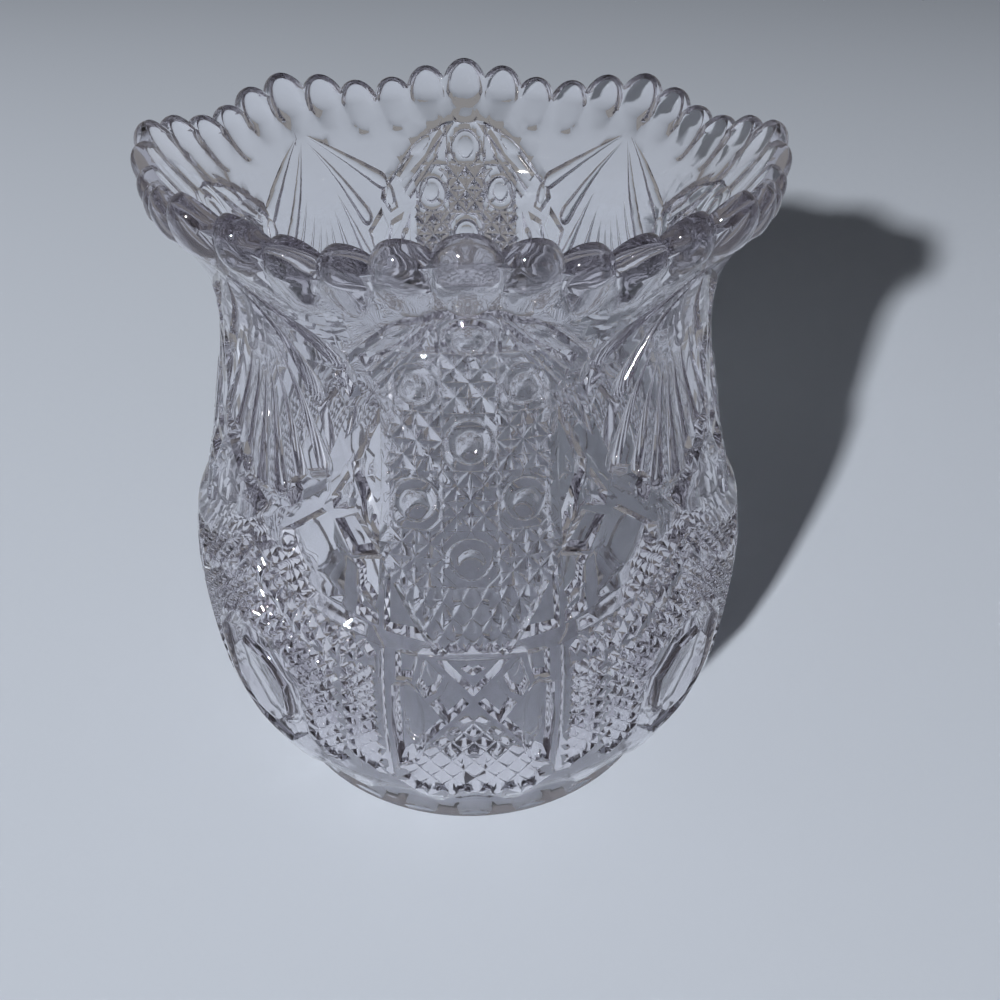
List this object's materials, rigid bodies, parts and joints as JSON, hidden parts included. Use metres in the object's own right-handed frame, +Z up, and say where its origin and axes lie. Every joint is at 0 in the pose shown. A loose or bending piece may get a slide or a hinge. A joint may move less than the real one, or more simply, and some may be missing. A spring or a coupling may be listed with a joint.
{
  "type": "cut glass vase",
  "caption": "Round-bellied clear glass vase with a flared mouth, a lobed rim of rounded beads, arched button panels, fluted fans and a scalloped foot.",
  "frame": {"origin": "centre of the plane that the foot rests on", "axes": "+Z up along the vase's axis, -Y towards the middle of the first button panel, +X to the right as seen from that side"},
  "size_m": [0.116, 0.116, 0.1296],
  "materials": {
    "clear_glass": "polished"
  },
  "bodies": {
    "root": {"arch_ridge_1": "clear_glass", "arch_ridge_2": "clear_glass", "arch_ridge_3": "clear_glass", "arch_ridge_4": "clear_glass", "belly_fields_1": "clear_glass", "belly_fields_2": "clear_glass", "belly_fields_3": "clear_glass", "belly_fields_4": "clear_glass", "button_panel_1": "clear_glass", "button_panel_2": "clear_glass", "button_panel_3": "clear_glass", "button_panel_4": "clear_glass", "crossed_ribs_1": "clear_glass", "crossed_ribs_2": "clear_glass", "crossed_ribs_3": "clear_glass", "crossed_ribs_4": "clear_glass", "fluted_fan_1": "clear_glass", "fluted_fan_2": "clear_glass", "fluted_fan_3": "clear_glass", "fluted_fan_4": "clear_glass", "foot_ring": "clear_glass", "framed_lens_1": "clear_glass", "framed_lens_2": "clear_glass", "framed_lens_3": "clear_glass", "framed_lens_4": "clear_glass", "rim_lobe_1": "clear_glass", "rim_lobe_2": "clear_glass", "rim_lobe_3": "clear_glass", "rim_lobe_4": "clear_glass", "rim_lobe_5": "clear_glass", "rim_lobe_6": "clear_glass", "rim_lobe_7": "clear_glass", "rim_lobe_8": "clear_glass", "shoulder_band_1": "clear_glass", "shoulder_band_2": "clear_glass", "shoulder_band_3": "clear_glass", "shoulder_band_4": "clear_glass", "side_ribbons_1": "clear_glass", "side_ribbons_2": "clear_glass", "side_ribbons_3": "clear_glass", "side_ribbons_4": "clear_glass", "vessel_floor": "clear_glass", "vessel_wall": "clear_glass"}
  },
  "joints": []
}
